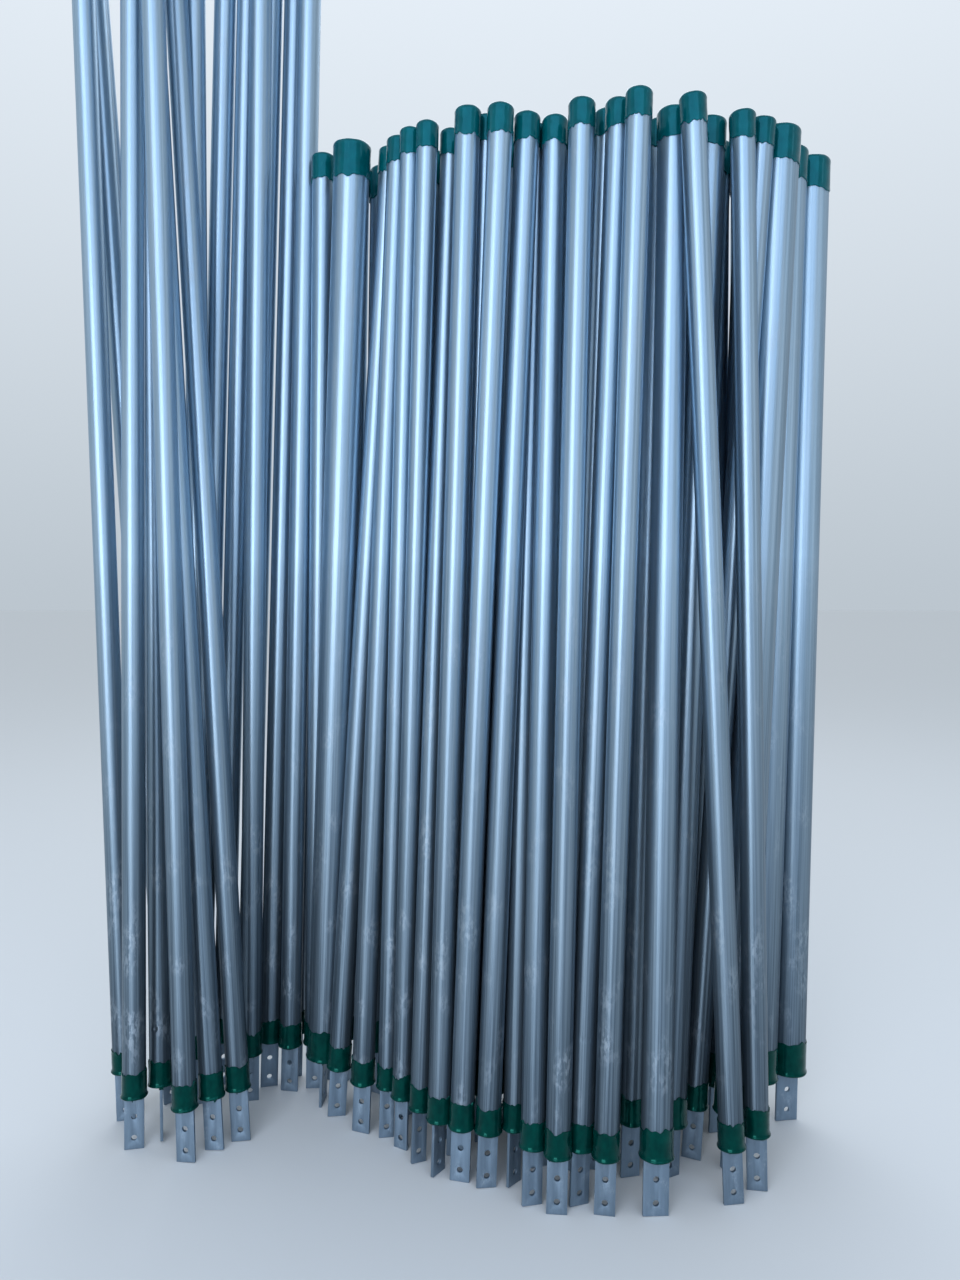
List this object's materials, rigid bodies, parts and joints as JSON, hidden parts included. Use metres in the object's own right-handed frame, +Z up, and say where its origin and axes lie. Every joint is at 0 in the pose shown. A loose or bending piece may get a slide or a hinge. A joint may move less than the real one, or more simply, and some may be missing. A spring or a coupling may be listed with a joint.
{
  "type": "bundle of earthing rods",
  "caption": "Stack of galvanised pipe earthing electrodes standing on their drilled terminal strips and leaning back, pipe ends dipped in green.",
  "frame": {"origin": "on the floor, under the middle of the bundle's outline", "axes": "+Z up, +X to the right along the bundle, +Y to its back, where it leans"},
  "size_m": [1.6898, 0.7656, 3.1174],
  "materials": {
    "galvanised_pipe": "hot-dip galvanised, smooth satin grey with a fine bloom",
    "galvanised_strip": "hot-dip galvanised flat bar, dull grey",
    "green_coat": "thick dipped coat, glossy deep green"
  },
  "bodies": {
    "root": {"left_back_pipes": "galvanised_pipe", "left_back_strips": "galvanised_strip", "left_back_head_coats": "green_coat", "left_back_foot_coats": "green_coat", "back_row_pipes": "galvanised_pipe", "back_row_strips": "galvanised_strip", "back_row_head_coats": "green_coat", "back_row_foot_coats": "green_coat", "middle_row_pipes": "galvanised_pipe", "middle_row_strips": "galvanised_strip", "middle_row_head_coats": "green_coat", "middle_row_foot_coats": "green_coat", "last_big_pipes": "galvanised_pipe", "last_big_strips": "galvanised_strip", "last_big_head_coats": "green_coat", "last_big_foot_coats": "green_coat", "inner_row_pipes": "galvanised_pipe", "inner_row_strips": "galvanised_strip", "inner_row_head_coats": "green_coat", "inner_row_foot_coats": "green_coat", "second_row_pipes": "galvanised_pipe", "second_row_strips": "galvanised_strip", "second_row_head_coats": "green_coat", "second_row_foot_coats": "green_coat", "long_back_pipes": "galvanised_pipe", "long_back_strips": "galvanised_strip", "long_back_head_coats": "green_coat", "long_back_foot_coats": "green_coat", "left_end_pipes": "galvanised_pipe", "left_end_strips": "galvanised_strip", "left_end_head_coats": "green_coat", "left_end_foot_coats": "green_coat", "front_left_pipes": "galvanised_pipe", "front_left_strips": "galvanised_strip", "front_left_head_coats": "green_coat", "front_left_foot_coats": "green_coat", "front_middle_pipes": "galvanised_pipe", "front_middle_strips": "galvanised_strip", "front_middle_head_coats": "green_coat", "front_middle_foot_coats": "green_coat", "front_right_pipes": "galvanised_pipe", "front_right_strips": "galvanised_strip", "front_right_head_coats": "green_coat", "front_right_foot_coats": "green_coat", "long_front_pipes": "galvanised_pipe", "long_front_strips": "galvanised_strip", "long_front_head_coats": "green_coat", "long_front_foot_coats": "green_coat"}
  },
  "joints": []
}
